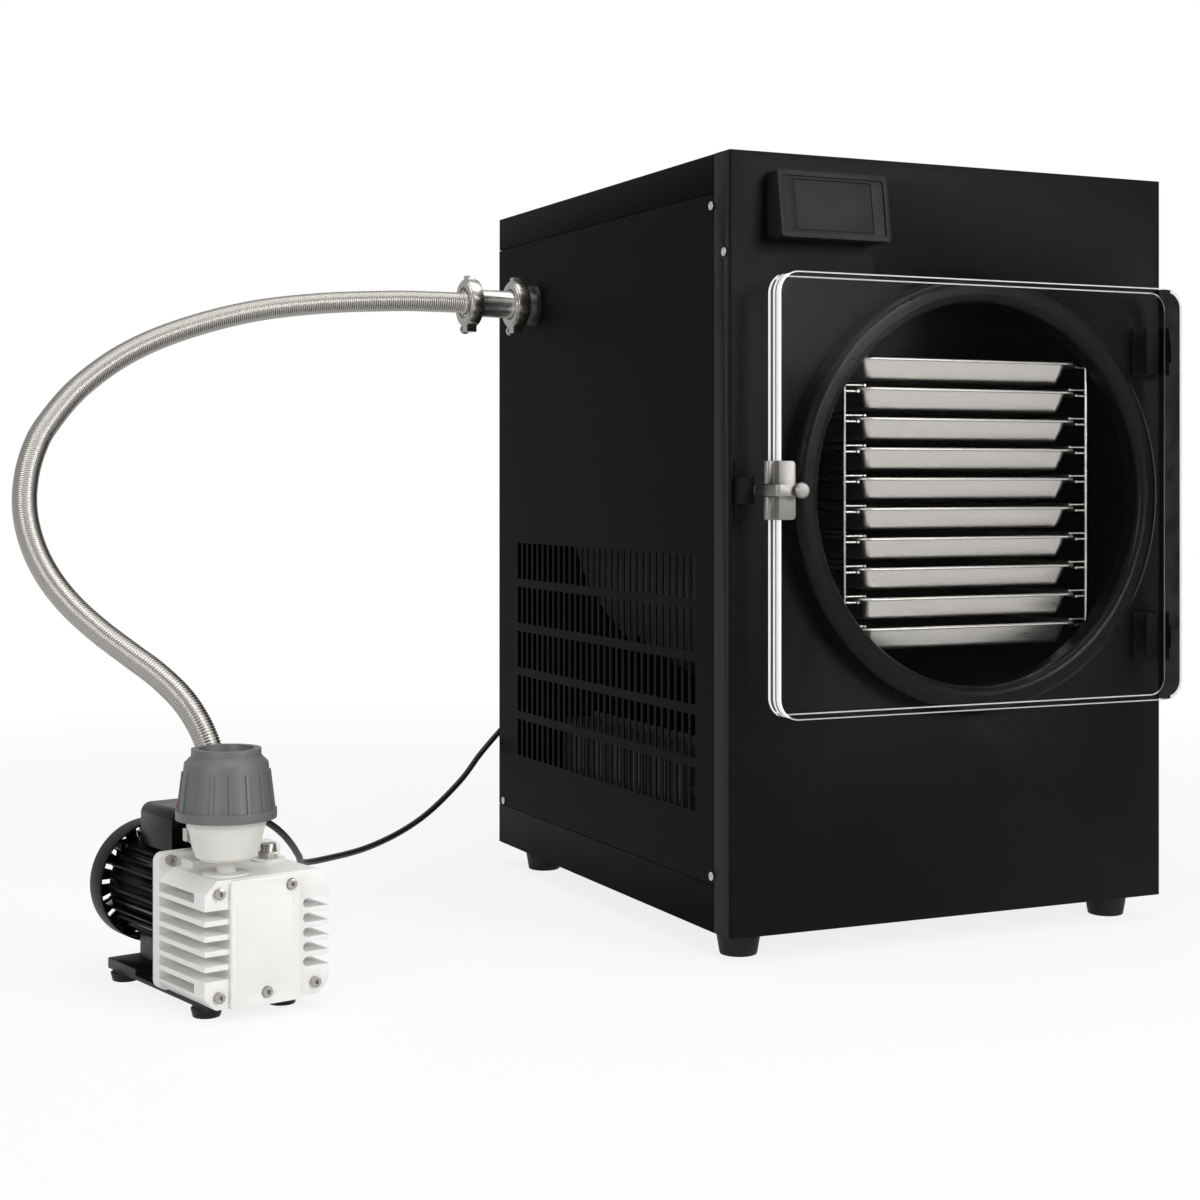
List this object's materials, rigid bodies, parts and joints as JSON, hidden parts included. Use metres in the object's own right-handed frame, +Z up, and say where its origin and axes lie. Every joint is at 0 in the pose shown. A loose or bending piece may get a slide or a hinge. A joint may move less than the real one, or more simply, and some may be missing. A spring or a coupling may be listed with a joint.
{
  "type": "laboratory freeze dryer",
  "caption": "Floor-standing laboratory freeze dryer with a clear hinged door over a round tray chamber, a colour screen, and an oil vacuum pump joined by a steel hose.",
  "frame": {"origin": "floor level under the middle of the footprint of cabinet and pump together", "axes": "+X to the viewer's right along the cabinet's front, +Y from the door to the back, +Z up"},
  "size_m": [1.1496, 0.6973, 0.786],
  "materials": {
    "powder_coat": "satin",
    "black_rubber": "matte",
    "bright_steel": "satin",
    "display_plastic": "matte",
    "screen": "gloss",
    "circuit_board": "matte",
    "chamber_black": "satin",
    "copper": "satin",
    "foam": "matte",
    "heater_silicone": "matte",
    "tray_steel": "satin",
    "compressor_black": "gloss",
    "coil_aluminium": "satin",
    "dark_metal": "satin",
    "socket_plastic": "matte",
    "switch_black": "gloss",
    "port_steel": "satin",
    "hose_steel": "satin",
    "clear_acrylic": "gloss",
    "hinge_black": "satin",
    "pump_black": "gloss",
    "pump_white": "satin",
    "fittings": "satin",
    "rotor_steel": "satin",
    "switch_orange": "gloss",
    "bowl_white": "satin",
    "cap_grey": "matte",
    "lead_black": "satin"
  },
  "bodies": {
    "cabinet": {"base_pan": "powder_coat", "front_panel": "powder_coat", "left_side_panel": "powder_coat", "right_side_panel": "powder_coat", "rear_panel": "powder_coat", "top_cover": "powder_coat", "feet": "black_rubber", "door_gasket": "black_rubber", "port_grommet": "black_rubber", "panel_screws": "bright_steel", "kf_clamps": "bright_steel", "hose_fittings": "bright_steel", "tray_rack": "bright_steel", "display_bezel": "display_plastic", "touchscreen": "screen", "control_board": "circuit_board", "vacuum_chamber": "chamber_black", "evaporator_coil": "copper", "refrigerant_lines": "copper", "chamber_insulation": "foam", "shelf_heaters": "heater_silicone", "tray_1": "tray_steel", "tray_2": "tray_steel", "tray_3": "tray_steel", "tray_4": "tray_steel", "tray_5": "tray_steel", "tray_6": "tray_steel", "tray_7": "tray_steel", "tray_8": "tray_steel", "tray_9": "tray_steel", "tray_10": "tray_steel", "compressor": "compressor_black", "condenser": "coil_aluminium", "power_supply": "coil_aluminium", "fan_shroud": "dark_metal", "fan_motor": "dark_metal", "fan_cowl": "dark_metal", "power_sockets": "socket_plastic", "terminal_box": "socket_plastic", "vacuum_port": "port_steel", "vacuum_hose": "hose_steel", "hinge_brackets": "hinge_black", "latch_keeper": "hinge_black", "pump_base": "pump_black", "motor_housing": "pump_black", "pump_block": "pump_white", "pump_front_plate": "pump_white", "pump_fittings": "fittings", "filter_bowl": "bowl_white", "filter_cap": "cap_grey", "pump_lead": "lead_black", "lead_plug": "lead_black"},
    "door": {"door_panel": "clear_acrylic", "hinge_leaves": "hinge_black", "latch_plate": "bright_steel"},
    "latch_lever": {"latch_lever": "bright_steel"},
    "condenser_fan": {"fan_blade": "coil_aluminium"},
    "pump_rotor": {"motor_rotor": "rotor_steel"},
    "mains_rocker": {"mains_switch": "switch_black"},
    "pump_rocker": {"pump_switch": "switch_orange"}
  },
  "joints": [
    {"name": "door_hinge", "type": "hinge", "parent": "cabinet", "child": "door", "pos_m": [0.53574, -0.277, 0.453], "axis": [0, 0, 1], "range_deg": [0, 120]},
    {"name": "latch_turn", "type": "hinge", "parent": "door", "child": "latch_lever", "pos_m": [0.04274, -0.3025, 0.458], "axis": [0, 0, 1], "range_deg": [0, 10]},
    {"name": "condenser_fan_spin", "type": "hinge", "parent": "cabinet", "child": "condenser_fan", "pos_m": [0.07574, -0.0045, 0.115], "axis": [1, 0, 0], "continuous": true},
    {"name": "pump_rotor_spin", "type": "hinge", "parent": "cabinet", "child": "pump_rotor", "pos_m": [-0.45238, -0.15609, 0.084], "axis": [-0.225, 0.9744, 0], "continuous": true},
    {"name": "mains_rocker_tilt", "type": "hinge", "parent": "cabinet", "child": "mains_rocker", "pos_m": [0.38574, 0.3295, 0.146], "axis": [1, 0, 0], "range_deg": [-16, 0]},
    {"name": "pump_rocker_tilt", "type": "hinge", "parent": "cabinet", "child": "pump_rocker", "pos_m": [-0.46408, -0.10542, 0.164], "axis": [0.9744, 0.225, 0], "range_deg": [-16, 0]}
  ]
}
